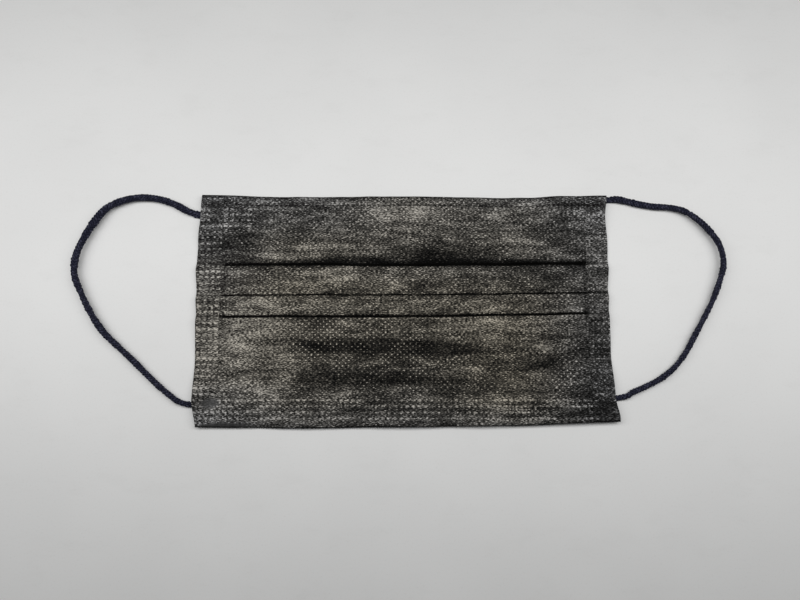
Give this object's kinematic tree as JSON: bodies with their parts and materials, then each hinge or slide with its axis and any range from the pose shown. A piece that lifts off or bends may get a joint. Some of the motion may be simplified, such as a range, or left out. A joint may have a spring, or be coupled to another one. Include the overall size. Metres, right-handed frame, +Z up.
{
  "type": "surgical mask",
  "caption": "Rectangular pleated cloth face mask lying flat, with folded hems, welded side seams and a round elastic ear loop at each end.",
  "frame": {"origin": "middle of the panel's footprint, on the surface that the mask lies on", "axes": "+X along the panel from its left seam to its right seam, +Y from its lower edge to its upper edge, towards which the pleats' folded edges face, +Z up out of the outer side of the cloth"},
  "size_m": [0.2776, 0.0991, 0.0062],
  "materials": {
    "mask_cloth": "charcoal spunbond non-woven cloth with a fine grid of bond points, pale stray fibres and cloudy mottling",
    "ear_loop_elastic": "dark navy knitted elastic cord, matt and slightly fuzzy",
    "fused_elastic": "knitted elastic pressed flat and melted to a smoother skin"
  },
  "bodies": {
    "root": {"pleated_panel": "mask_cloth", "ear_loop_left": "ear_loop_elastic", "ear_loop_right": "ear_loop_elastic", "loop_weld_upper_left": "fused_elastic", "loop_weld_lower_left": "fused_elastic", "loop_weld_upper_right": "fused_elastic", "loop_weld_lower_right": "fused_elastic"}
  },
  "joints": []
}
